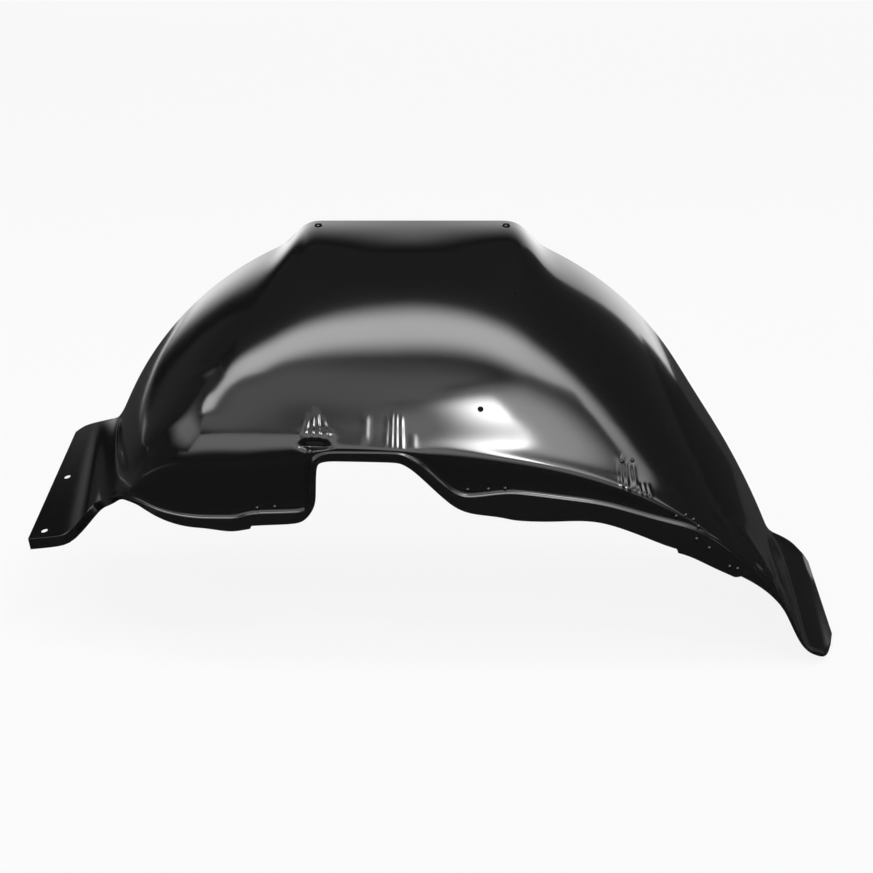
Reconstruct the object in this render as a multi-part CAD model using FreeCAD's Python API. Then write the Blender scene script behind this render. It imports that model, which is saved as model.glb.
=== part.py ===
import FreeCAD, Part
import math
import os

Vector = FreeCAD.Vector

# Wheel arch liner: one pressed sheet. Millimetres. The origin is midway between the two holes of the
# crown flange, on its upper face. +X runs along the car, +Y to the wing side, +Z up.

# Sheet and crown flange, deepest round the holes at its ends
SHEET = 1.0
FLANGE_HOLE_SPACING = 250.0
FLANGE_HOLE_RADIUS = 4.5
FLANGE_END_MARGIN = 10.0
FLANGE_RAMP = 44.0
FLANGE_SPREAD = 0.6
FLANGE_DEPTH = 28.0
FLANGE_BLEND = 120.0
FLANGE_CROWN_BLEND = 30.0
FLANGE_WIDENING = 1.6
SEAT_DEPTH = 50.0
SEAT_BLEND = 40.0
SEAT_RUN = (70, 110)
RIM_Y = 18.0

# Arch over the tyre, seen along the axle: a circle, then a straight run to the right foot
ARCH_RADIUS = 427.0
ARCH_RISE = 3.0
AXLE_X = -1.5
LEFT_FOOT_ANGLE = -70.0
RIGHT_LEAVE_ANGLE = 61.0
RIGHT_RUN = 264.0
RIGHT_BULGE = 7.0

# Dome: depth to the lower wall, and by station how far the tread runs in, how boxy it rounds over, and how
# far its shoulder leans and falls towards the wall
WALL_Y = -318.0
LEFT_CORNER_X = -250.0
LEFT_CORNER_SWEEP = 0.0045
TREAD_Y = [(-72, -120), (-68, -200), (-60, -262), (-50, -258), (-40, -226), (-28, -206), (0, -197),
           (28, -200), (40, -205), (58, -220), (64, -222), (70, -215), (76, -200), (83, -150)]
BOXINESS = [(-72, 1.0), (-66, 1.3), (-58, 1.7), (-50, 1.8), (-42, 1.7), (-34, 1.25), (-26, 1.0),
            (0, 0.8), (40, 0.9), (58, 1.0), (70, 1.1), (83, 1.0)]
TREAD_LEAN = [(-72, 0.12), (-66, 0.35), (-58, 0.55), (-50, 0.55), (-42, 0.32), (-30, 0.12), (40, 0.12)]
TREAD_FALL = [(-72, 0.02), (-66, 0.2), (-58, 0.4), (-50, 0.36), (-42, 0.2), (-32, 0.06), (-24, 0.04),
              (0, 0.10), (24, 0.03), (40, 0.02)]
DOME_START = (-73, -65)
DOME_END = (77, 84)

# Ridge between the dome and the lower wall: its line, and by station how far and how steeply the dome
# steps up from it and how much it sags
RIDGE_Z = -205.0
RIDGE_TILT = -0.075
RIDGE_DROP = 1.55
RIDGE_REACH = [(-70, 18), (-60, 32), (-50, 40), (-40, 40), (-28, 28), (-16, 17), (8, 14), (83, 16)]
RIDGE_SLOPE = [(-70, 0.9), (-60, 1.1), (-40, 1.25), (-20, 1.25), (-10, 1.2), (4, 1.1), (34, 0.7), (83, 0.6)]
RIDGE_SAG = [(-70, 0), (-60, 8), (-50, 15), (-40, 16), (-28, 10), (-14, 2), (-4, 0), (83, 0)]

# Lower edge: the ledge, the fold and the lip that hangs from it
LEDGE = 5.0
LEDGE_FALL = 3.0
NOTCH_LEDGE = 1.5
NOTCH_LEDGE_FALL = 2.0
FOLD_ROUND = 1.2
LIP_LEAN = 0.14
LIP = [(-100, 14), (-90, 13), (-80, 10), (-70, 4), (-64, 6), (-55, 12), (-40, 13), (-37, 15), (-28, 14),
       (-25, 9), (-19, 8), (-15, 10), (0, 11), (10, 12), (16, 20), (27, 34), (36, 29), (45, 22), (53, 23),
       (60, 30), (68, 27), (72, 17), (76, 8), (80, 4), (100, 5)]
WALL_START = (-76, -63)
WALL_END = (79, 89)

# Notch for the suspension arm, and the lower edge on both sides of it
NOTCH_LEFT = -126.0
NOTCH_RIGHT = -8.0
NOTCH_FOOT = 62.0
NOTCH_TOP = -207.0
BELLY_Z = -292.0
CREST_Z = -259.0

# Left foot flange
EAR_WIDTH = 63.0
EAR_REACH = 86.0
EAR_NEAR_Y = -258.0
EAR_RISE_X = 0.25
EAR_RISE_Y = 0.17
EAR_HOLE_RADIUS = 4.5
EAR_FAR_HOLE_OUT = 56.25
EAR_FAR_HOLE_Y = -118.0
EAR_NEAR_HOLE_OUT = 66.75
EAR_NEAR_HOLE_Y = -246.0

# Right foot flange
TAIL_WIDTH = 49.0
TAIL_NEAR_Y = -330.0
TAIL_RISE_X = -0.45
TAIL_RISE_Y = 0.05
TAIL_RECESS = 4.5
TAIL_BORDER = 24.0
TAIL_RECESS_START = (84, 88)
TAIL_RECESS_END = (96, 99)

# On the two foot flanges the rows of the net lie along the near edge, at these shares of the way back
FOOT_SHARE = 0.03
CREST_SHARE = 0.06
ROOT_SHARE = 0.12

# Holes in the dome
DRAIN_HOLE_X = 87.0
DRAIN_HOLE_Z = -163.5
DRAIN_HOLE_RADIUS = 3.7
PIN_HOLE_X = 134.0
PIN_HOLE_Z = -57.0
PIN_HOLE_RADIUS = 1.6
HOLE_REACH = 12.0

# Stations along the sheet, in degrees round the arch and past it at both feet
EAR_END = -75
FLANK_START = -68
TAIL_START = 83
RUNS = [(-100, -76, 7), (-76, -66, 6), (-66, -42, 6), (-42, -12, 16), (-12, 0, 3), (0, 26, 13), (26, 60, 7),
        (60, 80, 6), (80, 100, 9)]
DOME_ROWS = 10
ROW_CROWDING = 1.25


def guide(rows, t):
    """Value at station t on a smooth curve through rows of (station, value)."""
    last = len(rows) - 1
    slopes = [(rows[k + 1][1] - rows[k][1]) / (rows[k + 1][0] - rows[k][0]) for k in range(last)]

    def tangent(k):
        if k == 0:
            return slopes[0]
        if k == last:
            return slopes[last - 1]
        before, after = slopes[k - 1], slopes[k]
        return 2 * before * after / (before + after) if before * after > 0 else 0.0

    i = max([k for k in range(last) if t >= rows[k][0]] or [0])
    span = rows[i + 1][0] - rows[i][0]
    u = min(max((t - rows[i][0]) / span, 0.0), 1.0)
    v = 1 - u
    return (v * v * (1 + 2 * u) * rows[i][1] + u * u * (3 - 2 * u) * rows[i + 1][1]
            + span * u * v * (v * tangent(i) - u * tangent(i + 1)))


def ease(start, end, value):
    """0 at start, 1 at end, smooth between."""
    u = min(max((value - start) / (end - start), 0.0), 1.0)
    return u * u * (3 - 2 * u)


def mix(a, b, share):
    return a * (1 - share) + b * share


def arch(angle):
    turn = math.radians(angle)
    drop = ARCH_RADIUS * (1 - math.cos(turn))
    return Vector(AXLE_X + ARCH_RADIUS * math.sin(turn), RIM_Y, ARCH_RISE - drop)


def wall_y(x):
    """Depth of the lower wall: flat, swept back round the left corner."""
    return WALL_Y + LEFT_CORNER_SWEEP * max(LEFT_CORNER_X - x, 0.0) ** 2


LEFT_FOOT = arch(LEFT_FOOT_ANGLE)
RIGHT_LEAVE = arch(RIGHT_LEAVE_ANGLE)
LEAVE_TURN = math.radians(RIGHT_LEAVE_ANGLE)
RIGHT_OUT = Vector(math.sin(LEAVE_TURN), 0, math.cos(LEAVE_TURN))
RIGHT_FOOT = RIGHT_LEAVE + Vector(math.cos(LEAVE_TURN), 0, -math.sin(LEAVE_TURN)) * RIGHT_RUN


def on_ear(x, y):
    return Vector(x, y, LEFT_FOOT.z + EAR_RISE_X * (x - LEFT_FOOT.x) + EAR_RISE_Y * (y - RIM_Y))


def on_tail(x, y):
    return Vector(x, y, RIGHT_FOOT.z + TAIL_RISE_X * (x - RIGHT_FOOT.x) + TAIL_RISE_Y * (y - RIM_Y))


def through(points, t):
    """Point at station t on a smooth curve through (station, point) pairs."""
    return Vector(*[guide([(s, p[axis]) for s, p in points], t) for axis in range(3)])


EAR_RIM = [(-100, on_ear(LEFT_FOOT.x - EAR_WIDTH, RIM_Y - 14)),
           (-97, on_ear(LEFT_FOOT.x - EAR_WIDTH + 6, RIM_Y - 5)),
           (-92, on_ear(LEFT_FOOT.x - EAR_WIDTH + 18, RIM_Y)),
           (-80, on_ear(LEFT_FOOT.x - 16, RIM_Y)),
           (EAR_END, on_ear(LEFT_FOOT.x - 6, RIM_Y)),
           (FLANK_START, arch(FLANK_START))]
TAIL_RIM = [(RIGHT_LEAVE_ANGLE, RIGHT_LEAVE),
            (72, mix(RIGHT_LEAVE, RIGHT_FOOT, 0.5) + RIGHT_OUT * RIGHT_BULGE),
            (TAIL_START - 4, mix(RIGHT_LEAVE, RIGHT_FOOT, 0.86) + RIGHT_OUT * RIGHT_BULGE * 0.5),
            (TAIL_START, RIGHT_FOOT),
            (87, on_tail(RIGHT_FOOT.x + 14, RIM_Y - 1)),
            (92, on_tail(RIGHT_FOOT.x + 32, RIM_Y - 6)),
            (97, on_tail(RIGHT_FOOT.x + TAIL_WIDTH - 3, RIM_Y - 26)),
            (100, on_tail(RIGHT_FOOT.x + TAIL_WIDTH, RIM_Y - 56))]


def far_rim(t):
    if t < FLANK_START:
        return through(EAR_RIM, t)
    if t > RIGHT_LEAVE_ANGLE:
        return through(TAIL_RIM, t)
    return arch(t)


def near(x, z):
    return Vector(x, wall_y(x) - LEDGE, z)


EAR_TIP = on_ear(LEFT_FOOT.x - EAR_REACH, EAR_NEAR_Y)
FOLD = [(-100, EAR_TIP),
        (-90, on_ear(LEFT_FOOT.x - 31, EAR_NEAR_Y - 12)),
        (-86, near(-414, -322)),
        (-83, near(-404, -311)),
        (-79, near(-389, -300)),
        (-70, near(-361, -285)),
        (-66, near(-341, -284)),
        (-60, near(-312, BELLY_Z + 2)),
        (-50, near(-260, BELLY_Z)),
        (-40, near(-217, BELLY_Z)),
        (-37, near(-198, BELLY_Z + 6)),
        (-28, near(NOTCH_LEFT - 14, BELLY_Z + 8)),
        (-26, near(NOTCH_LEFT - 2, BELLY_Z + 10)),
        (-24.5, near(NOTCH_LEFT, BELLY_Z + 22)),
        (-19.5, near(NOTCH_LEFT + 3, NOTCH_TOP - 15)),
        (-17, near(NOTCH_LEFT + 11, NOTCH_TOP - 4)),
        (-14, near(NOTCH_LEFT + 28, NOTCH_TOP)),
        (0, near(NOTCH_RIGHT - 8, NOTCH_TOP - 1)),
        (3, near(NOTCH_RIGHT + 8, NOTCH_TOP - 6)),
        (13, near(NOTCH_FOOT - 3, CREST_Z - 2)),
        (16, near(NOTCH_FOOT + 10, CREST_Z - 5)),
        (24, near(NOTCH_FOOT + 60, CREST_Z)),
        (36, near(185, -266)),
        (45, near(234, -273)),
        (57, near(309, -295)),
        (64, near(357, -308)),
        (68, near(386, -327)),
        (79, near(466, -402)),
        (85, near(RIGHT_FOOT.x - 9, -450)),
        (88, on_tail(RIGHT_FOOT.x + 1, TAIL_NEAR_Y + 2)),
        (92, on_tail(RIGHT_FOOT.x + 15, TAIL_NEAR_Y)),
        (97, on_tail(RIGHT_FOOT.x + TAIL_WIDTH - 14, TAIL_NEAR_Y + 28)),
        (100, on_tail(RIGHT_FOOT.x + TAIL_WIDTH - 3, TAIL_NEAR_Y + 78))]


def over_notch(x):
    """1 above the notch, 0 away from it."""
    return ease(NOTCH_LEFT + 2, NOTCH_LEFT + 16, x) * (1 - ease(NOTCH_RIGHT - 6, NOTCH_RIGHT + 24, x))


def fold(t):
    edge = through(FOLD, t)
    return edge + Vector(0, (LEDGE - NOTCH_LEDGE) * over_notch(edge.x), 0)


def below_fold(t):
    """Direction in which the lip hangs: square to the fold, seen along the axle."""
    run = fold(t + 0.25) - fold(t - 0.25)
    return Vector(run.z, 0, -run.x).normalize()


RIDGE_X = [(-70, -360), (-60, -314), (-50, -269), (-40, -222), (0, -14), (50, 245), (58, 290), (70, 392),
           (TAIL_START, 484)]
CORNER_Z = [(-70, -277), (-64, -243), (-58, -214), (-52, -196), (-46, -189), (-40, -188.4)]


def ridge(t):
    x = guide(RIDGE_X, t)
    z = RIDGE_Z + RIDGE_TILT * x - RIDGE_DROP * (max(x, 0.0) / 100) ** 3
    if t < CORNER_Z[-1][0]:
        z = guide(CORNER_Z, t)
    return Vector(x, wall_y(x), z - guide(RIDGE_SAG, t))


def ridge_step(t):
    """From the ridge up to where the dome starts: a long soft step on the left, a short one on the right."""
    return Vector(0, 1, guide(RIDGE_SLOPE, t)).normalize() * guide(RIDGE_REACH, t)


def wall_share(t):
    """1 where an upright wall stands under the dome, 0 on the two foot flanges."""
    return ease(*WALL_START, t) * (1 - ease(*WALL_END, t))


def section(t):
    """Poles of one cross-section, from the far rim over the dome and down to the edge of the lip."""
    rim, edge, share = far_rim(t), fold(t), wall_share(t)
    hang = below_fold(t)
    back = rim - edge
    crest = mix(edge + back * CREST_SHARE, ridge(t), share)
    root = mix(edge + back * ROOT_SHARE, crest + ridge_step(t), share)
    notched = over_notch(edge.x)
    step = Vector(0, mix(LEDGE, NOTCH_LEDGE, notched), 0) - hang * mix(LEDGE_FALL, NOTCH_LEDGE_FALL, notched)
    foot = mix(edge + back * FOOT_SHARE, edge + step, share)
    tip = edge + (hang + Vector(0, -LIP_LEAN, 0)) * guide(LIP, t)
    poles = dome_poles(t, rim, root)
    poles += [root,
              crest,
              (crest + foot) * 0.5,
              foot,
              edge + (foot - edge).normalize() * FOLD_ROUND,
              edge,
              edge + (tip - edge).normalize() * FOLD_ROUND,
              tip]
    sunk = ease(*TAIL_RECESS_START, t) * (1 - ease(*TAIL_RECESS_END, t))
    return [lift_flange(sink_tail(pole, sunk)) for pole in poles]


def dome_poles(t, rim, root):
    """Poles from the rim towards the foot of the dome, drawn out to its shoulder."""
    shoulder = Vector(mix(rim.x, root.x, guide(TREAD_LEAN, t)), guide(TREAD_Y, t),
                      mix(rim.z, root.z, guide(TREAD_FALL, t)))
    shoulder = mix((rim + root) * 0.5, shoulder, ease(*DOME_START, t) * (1 - ease(*DOME_END, t)))
    weight = guide(BOXINESS, t)
    rows = int(DOME_ROWS)
    poles = []
    for i in range(rows):
        u = (i / rows) ** ROW_CROWDING
        pull = 2 * weight * u * (1 - u)
        total = (1 - u) ** 2 + pull + u * u
        poles.append((rim * (1 - u) ** 2 + shoulder * pull + root * u * u) / total)
    return poles


def sink_tail(pole, sunk):
    """Presses the middle of the right foot flange down, inside its border."""
    inside = ease(0, TAIL_BORDER, RIM_Y - pole.y) * ease(0, TAIL_BORDER, pole.y - TAIL_NEAR_Y)
    return pole - Vector(0, 0, TAIL_RECESS) * (sunk * inside)


def lift_flange(pole):
    """Raises the sheet to the flat crown flange, deepest round the holes at its ends."""
    half = FLANGE_HOLE_SPACING / 2 + FLANGE_END_MARGIN
    far = RIM_Y - pole.y
    along = 1 - ease(half, half + FLANGE_RAMP + FLANGE_SPREAD * far, abs(pole.x))
    widen = (min(abs(pole.x), half) / half) ** FLANGE_WIDENING
    depth = FLANGE_DEPTH * widen
    across = 1 - ease(depth, depth + mix(FLANGE_CROWN_BLEND, FLANGE_BLEND, widen), far)
    seat = along * ease(*SEAT_RUN, abs(pole.x)) * (1 - ease(SEAT_DEPTH, SEAT_DEPTH + SEAT_BLEND, far))
    return Vector(pole.x, pole.y, min(pole.z * (1 - along * across) * (1 - seat), 0.0))


def stations():
    found = [RUNS[0][0]]
    for start, end, count in RUNS:
        found += [start + (end - start) * (k + 1) / count for k in range(count)]
    return found


def inward(net, i, j):
    """Unit normal of the net at one pole, towards the wheel."""
    along = net[min(i + 1, len(net) - 1)][j] - net[max(i - 1, 0)][j]
    across = net[i][min(j + 1, len(net[i]) - 1)] - net[i][max(j - 1, 0)]
    return along.cross(across).normalize()


def knots_for(count, degree):
    knots = list(range(count - degree + 1))
    mults = [degree + 1] + [1] * (len(knots) - 2) + [degree + 1]
    return knots, mults


def spline_face(net):
    degree_u, degree_v = min(3, len(net) - 1), min(3, len(net[0]) - 1)
    knots_u, mults_u = knots_for(len(net), degree_u)
    knots_v, mults_v = knots_for(len(net[0]), degree_v)
    surface = Part.BSplineSurface()
    surface.buildFromPolesMultsKnots(net, mults_u, mults_v, knots_u, knots_v, False, False,
                                     degree_u, degree_v)
    return surface.toShape()


def pressed_sheet():
    """Upper face, under face and the four cut edges between them, sewn to one solid."""
    upper = [section(t) for t in stations()]
    under = [[pole + inward(upper, i, j) * SHEET for j, pole in enumerate(row)]
             for i, row in enumerate(upper)]
    sides = [[upper[0], under[0]],
             [upper[-1], under[-1]],
             [[row[0] for row in upper], [row[0] for row in under]],
             [[row[-1] for row in upper], [row[-1] for row in under]]]
    faces = [spline_face(net) for net in [upper, under] + sides]
    shell = Part.Shell(faces)
    shell.sewShape()
    solid = Part.Solid(shell)
    if solid.Volume < 0:
        solid.reverse()
    return solid


def hole(point, axis, radius):
    axis = axis.normalize()
    return Part.makeCylinder(radius, 2 * HOLE_REACH, point - axis * HOLE_REACH, axis)


def dome_hole(liner, x, z, radius):
    """Hole square to the dome where a line along the axle at x, z meets it."""
    line = Part.makeLine(Vector(x, WALL_Y, z), Vector(x, RIM_Y, z))
    point = line.distToShape(liner)[1][0][1]
    face = min(liner.Faces, key=lambda f: f.distToShape(Part.Vertex(point))[0])
    return hole(point, face.normalAt(*face.Surface.parameter(point)), radius)


def make_liner():
    liner = pressed_sheet()
    cutters = []
    for side in (-1, 1):
        place = Vector(side * FLANGE_HOLE_SPACING / 2, 0, 0)
        cutters.append(hole(place, Vector(0, 0, 1), FLANGE_HOLE_RADIUS))
    for out, y in ((EAR_FAR_HOLE_OUT, EAR_FAR_HOLE_Y), (EAR_NEAR_HOLE_OUT, EAR_NEAR_HOLE_Y)):
        place = on_ear(LEFT_FOOT.x - out, y)
        cutters.append(hole(place, Vector(-EAR_RISE_X, -EAR_RISE_Y, 1), EAR_HOLE_RADIUS))
    cutters.append(dome_hole(liner, DRAIN_HOLE_X, DRAIN_HOLE_Z, DRAIN_HOLE_RADIUS))
    cutters.append(dome_hole(liner, PIN_HOLE_X, PIN_HOLE_Z, PIN_HOLE_RADIUS))
    for cutter in cutters:
        liner = liner.cut(cutter)
    return liner


os.makedirs("parts", exist_ok=True)
liner = make_liner()
liner.exportStep("parts/wheel_arch_liner.step")
print("valid", liner.isValid(), "solids", len(liner.Solids), "volume", round(liner.Volume, 1),
      "box", liner.BoundBox)
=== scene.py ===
import math
import bmesh
import bpy
import numpy as np
from mathutils import Matrix, Vector


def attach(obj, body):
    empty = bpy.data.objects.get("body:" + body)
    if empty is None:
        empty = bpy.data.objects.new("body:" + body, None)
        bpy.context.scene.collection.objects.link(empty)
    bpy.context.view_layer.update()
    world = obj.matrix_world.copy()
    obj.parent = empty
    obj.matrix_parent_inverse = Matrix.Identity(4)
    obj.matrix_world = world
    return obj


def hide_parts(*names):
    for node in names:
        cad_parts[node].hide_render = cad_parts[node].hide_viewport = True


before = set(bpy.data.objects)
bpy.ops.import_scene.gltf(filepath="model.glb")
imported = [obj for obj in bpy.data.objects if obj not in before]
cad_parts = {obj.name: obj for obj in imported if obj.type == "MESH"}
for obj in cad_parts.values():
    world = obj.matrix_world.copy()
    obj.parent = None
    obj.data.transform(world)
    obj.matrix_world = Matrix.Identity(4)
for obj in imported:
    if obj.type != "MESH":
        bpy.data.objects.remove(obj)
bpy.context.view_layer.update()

# Wheel arch liner pressed from one steel sheet and dipped in gloss black. Sizes in millimetres, as in the
# part's source; the meshes are made in metres.
MM = 0.001

# Sheet and crown flange
SHEET = 1.0
FLANGE_HOLE_SPACING = 250.0
FLANGE_HOLE_RADIUS = 4.5
FLANGE_END_MARGIN = 6.0
FLANGE_RAMP = 44.0
FLANGE_SPREAD = 0.25
FLANGE_DEPTH = 28.0
FLANGE_BLEND = 145.0
FLANGE_CROWN_BLEND = 80.0
FLANGE_WIDENING = 1.6
RIM_Y = 18.0

# Arch over the tyre
ARCH_RADIUS = 427.0
ARCH_RISE = 3.0
AXLE_X = -1.5
LEFT_FOOT_ANGLE = -70.0
RIGHT_LEAVE_ANGLE = 61.0
RIGHT_RUN = 264.0
RIGHT_BULGE = 7.0

# Dome
WALL_Y = -318.0
LEFT_CORNER_X = -250.0
LEFT_CORNER_SWEEP = 0.0045
TREAD_Y = [(-72, -120), (-68, -200), (-60, -262), (-50, -258), (-40, -226), (-28, -206), (0, -197),
           (28, -200), (40, -205), (58, -220), (64, -222), (70, -215), (76, -200), (83, -150)]
BOXINESS = [(-72, 1.0), (-66, 1.3), (-58, 1.7), (-50, 1.8), (-42, 1.7), (-34, 1.3), (-26, 1.0),
            (0, 0.8), (40, 0.9), (58, 1.0), (70, 1.1), (83, 1.0)]
TREAD_LEAN = [(-72, 0.12), (-66, 0.35), (-58, 0.55), (-50, 0.55), (-42, 0.32), (-30, 0.12), (40, 0.12)]
TREAD_FALL = [(-72, 0.02), (-66, 0.2), (-58, 0.4), (-50, 0.36), (-42, 0.2), (-32, 0.06), (-24, 0.03),
              (0, 0.09), (24, 0.02), (40, 0.02)]

# Swell of the left flank beside the rim
SWELL = [(-78, 0), (-68, 30), (-52, 38), (-42, 24), (-32, 6), (-26, 0)]
SWELL_DEPTH = 260.0

# Ridge and lower edge
RIDGE_Z = -205.0
RIDGE_TILT = -0.075
RIDGE_DROP = 1.55
RIDGE_DROP_RUN = 100.0
RIDGE_REACH = [(-70, 18), (-60, 32), (-50, 40), (-40, 40), (-28, 28), (-16, 17), (8, 14), (83, 16)]
RIDGE_SLOPE = [(-70, 0.9), (-60, 1.1), (-40, 1.25), (-20, 1.25), (-10, 1.2), (4, 1.1), (34, 0.7), (83, 0.6)]
RIDGE_SAG = [(-70, 0), (-60, 8), (-50, 15), (-40, 16), (-28, 10), (-14, 2), (-4, 0), (83, 0)]
NOTCH_LEDGE = 1.5
NOTCH_LEDGE_FALL = 2.0
LEDGE = 5.0
LEDGE_FALL = 3.0
FOLD_ROUND = 1.2
LIP_LEAN = 0.14
LIP = [(-100, 14), (-90, 13), (-80, 10), (-70, 4), (-64, 6), (-55, 12), (-40, 13), (-37, 15), (-28, 14),
       (-25, 9), (-19, 8), (-15, 10), (0, 11), (10, 12), (16, 20), (27, 34), (36, 29), (45, 22), (53, 23),
       (60, 30), (68, 27), (72, 17), (76, 8), (80, 4), (100, 5)]

# Where the rows below the dome lie on a foot flange, as shares of the way from its near edge to the rim
FOOT_SHARE = 0.03
CREST_SHARE = 0.06
ROOT_SHARE = 0.12

# Notch for the suspension arm, with the runs past its walls over which the ledge above it narrows
NOTCH_LEFT = -126.0
NOTCH_RIGHT = -8.0
NOTCH_FOOT = 62.0
NOTCH_TOP = -207.0
NOTCH_RUN_LEFT = (2.0, 16.0)
NOTCH_RUN_RIGHT = (-6.0, 24.0)
BELLY_Z = -292.0
CREST_Z = -259.0

# Foot flanges
EAR_WIDTH = 63.0
EAR_REACH = 86.0
EAR_NEAR_Y = -258.0
EAR_RISE_X = 0.25
EAR_RISE_Y = 0.17
EAR_HOLE_RADIUS = 4.5
EAR_HOLES = [(-459.0, -118.0), (-469.5, -246.0)]
TAIL_WIDTH = 49.0
TAIL_NEAR_Y = -330.0
TAIL_RISE_X = -0.45
TAIL_RISE_Y = 0.05
TAIL_RECESS = 4.5
TAIL_BORDER = 24.0
TAIL_RECESS_START = (84, 88)
TAIL_RECESS_END = (96, 99)

# Holes in the dome, as x, z and radius, and the drill for all holes
DRAIN_HOLE = (87.0, -163.5, 3.7)
PIN_HOLE = (134.0, -57.0, 1.6)
DRILL_REACH = 12.0
DRILL_SIDES = 48

# Marks that the press left in the sheet. Each is a line in the view along the axle, from (x, z) to (x, z),
# with its half width and how far it stands out of the sheet.
DRAW_WRINKLES = [((260, -226), (262, -262), 2.6, 0.8),
                 ((267, -232), (269, -265), 2.3, 0.8),
                 ((277, -236), (280, -257), 2.3, 0.6),
                 ((283, -253), (286, -264), 2.0, 0.5),
                 ((289, -254), (292, -265), 2.0, 0.5),
                 ((295, -256), (299, -267), 2.0, 0.45),
                 ((322, -211), (324, -248), 4.5, 0.5),
                 ((352, -250), (362, -276), 4.0, 0.5),
                 ((366, -252), (374, -280), 3.0, 0.4)]
TAIL_WRINKLES = [((380, -298), (404, -326), 3.0, 1.6),
                 ((390, -303), (444, -366), 3.0, 1.7),
                 ((403, -316), (457, -383), 3.0, 1.8),
                 ((415, -324), (460, -387), 3.0, 1.5),
                 ((420, -341), (454, -382), 2.8, 1.4)]
EAR_WRINKLES = [((-345, -262), (-331, -243), 5.0, 0.4)]
NOTCH_WRINKLES = [((-132, -192), (-125, -170), 3.4, 1.6),
                  ((-121, -189), (-119, -164), 2.6, 1.3),
                  ((-112, -189), (-115, -165), 2.6, 1.1),
                  ((-101, -191), (-108, -172), 2.6, 0.8),
                  ((-132, -229), (-127, -212), 3.0, 1.0),
                  ((-122, -223), (-119, -211), 3.0, 0.8),
                  ((-56, -194), (-55, -168), 5.0, 0.5),
                  ((-30, -198), (-28, -172), 2.6, 0.25),
                  ((-23, -200), (-22, -168), 2.2, 0.38),
                  ((-17, -200), (-17, -170), 2.0, 0.4),
                  ((-10, -201), (-11, -172), 2.4, 0.4),
                  ((4, -202), (3, -188), 3.0, 0.3)]
CORNER_CREASES = [((-275, -142), (-241, -124), 2.6, 1.1)]

# Shares of a mark's length over which it dies away past its end and is full inside it, and the depths
# between which the marks come in from the back of the sheet to its front
MARK_RUN_OUT = 0.35
MARK_RUN_IN = 0.3
MARKS_FRONT = (-150.0, -190.0)

# Tabs where the lip hangs lower: from x to x, the run at each end, and how much lower
LIP_TABS = [(-262.0, -197.0, 40.0, 3.0, 3.5),
            (331.0, 412.0, 3.0, 3.0, 4.5)]

# Pocket pinched into the sheet at the notch's left corner, and the brow over it: middle, half sizes, depth or
# height, and how square both are
POCKET = (-117.0, -198.5)
POCKET_HALF = (17.0, 4.6)
POCKET_DEPTH = 8.0
BROW = (-116.0, -187.0)
BROW_HALF = (20.0, 6.0)
BROW_HEIGHT = 1.6
PINCH_SQUARENESS = 1.6

# Clinch pips: where each stands in the view along the axle
PIPS = [(-190, -280), (-168, -278), (71, -256), (97, -255), (116, -254), (263, -229), (276, -230),
        (329, -291), (342, -291), (352, -297), (358, -305), (355, -319), (372, -331), (398, -355), (408, -359)]
PIP_RADIUS = 2.9
PIP_HEIGHT = 2.4
PIP_SEGMENTS = 14
PIP_RINGS = 8

# Collars drawn down round the crown holes
COLLAR_TOP = -0.3
COLLAR_DROP = 6.0
COLLAR_FIT = 0.05

# Dark plugs in the dome's holes: painted shade, standing in for the dark seen through the open holes. The
# dished front is given as share of the hole's radius and height, and the back likewise, with its heights from
# the sheet's inner skin.
PLUG_DISH = [(0.0, -2.2), (0.6, -1.8), (0.85, -0.9)]
PLUG_TOP = -0.5
PLUG_FIT = 0.05
PLUG_NECK = -0.1
PLUG_BRIM = 2.4
PLUG_BRIM_TOP = -0.3
PLUG_BRIM_FOOT = -1.6
PLUG_BRIM_TAPER = 0.4
PLUG_BACK = [(0.5, -2.6), (0.0, -2.8)]
TURN_STEPS = 32
WELD_DISTANCE = 1e-6

# Search for a place on the dome: what keeps the far side out, and what keeps a share finite
FAR_OFF = 1000.0
SHARE_FLOOR = 0.01

# Stations along the sheet
EAR_END = -75
FLANK_START = -68
TAIL_START = 83
WALL_START = (-76, -63)
WALL_END = (79, 89)
SHOULDER_START = (-73, -65)
SHOULDER_END = (77, 84)
FOLD_STEP = 0.25
RUNS = [(-100, -76, 7), (-76, -66, 6), (-66, -42, 6), (-42, -12, 16), (-12, 0, 3), (0, 26, 13), (26, 60, 7),
        (60, 80, 6), (80, 100, 9)]
DOME_ROWS = 10

# Steps of the mesh in each span of the spline: along the sheet as (up to station, steps), closest where it is
# wrinkled, and across it from the rim to the lip
STEPS_ALONG = [(-76, 3), (-46, 4), (-33, 8), (-29, 5), (-12, 9), (2, 16), (26, 3), (50, 5), (61, 32),
               (82, 12), (101, 3)]
STEPS_ACROSS = [4] * 7 + [8, 12, 12] + [6] * 5
ROW_CROWDING = 1.25

# Angles in degrees past which an edge stays sharp
SHEET_EDGE_ANGLE = 40
PIP_EDGE_ANGLE = 60

# Studio, in metres
FLOOR_HEIGHT = -0.489
FLOOR_SIZE = 60
FLOOR_WHITENESS = 0.88
WALL_RADIUS = 12
TABLE_EDGE = [(-8, -12.8), (8, -12.8), (8, 3.2), (-8, 3.2)]
TABLE_OPENING = [(-0.42, -0.26), (0.46, -0.26), (0.46, 0.1), (-0.42, 0.1)]
TABLE_LIFT = 0.004
SIDE_TABLE_PLACE = (-6.2, 4.85, FLOOR_HEIGHT + 0.006)
SIDE_TABLE_SIZE = (7.6, 3.4, 1, 1)
TAIL_FLAG_PLACE = (1.04, 0.6, -0.27)
TAIL_FLAG_SIZE = (0.72, 0.44)
BACK_PANEL_PLACE = (-0.1, 6.6, 3.76)
BACK_PANEL_SIZE = (9.0, 8.5)
BACK_PANEL_LEVEL = 1.3
DARK_CARD_LEVEL = 0.005
DARK_WALL_LEVEL = 0.025

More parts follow.
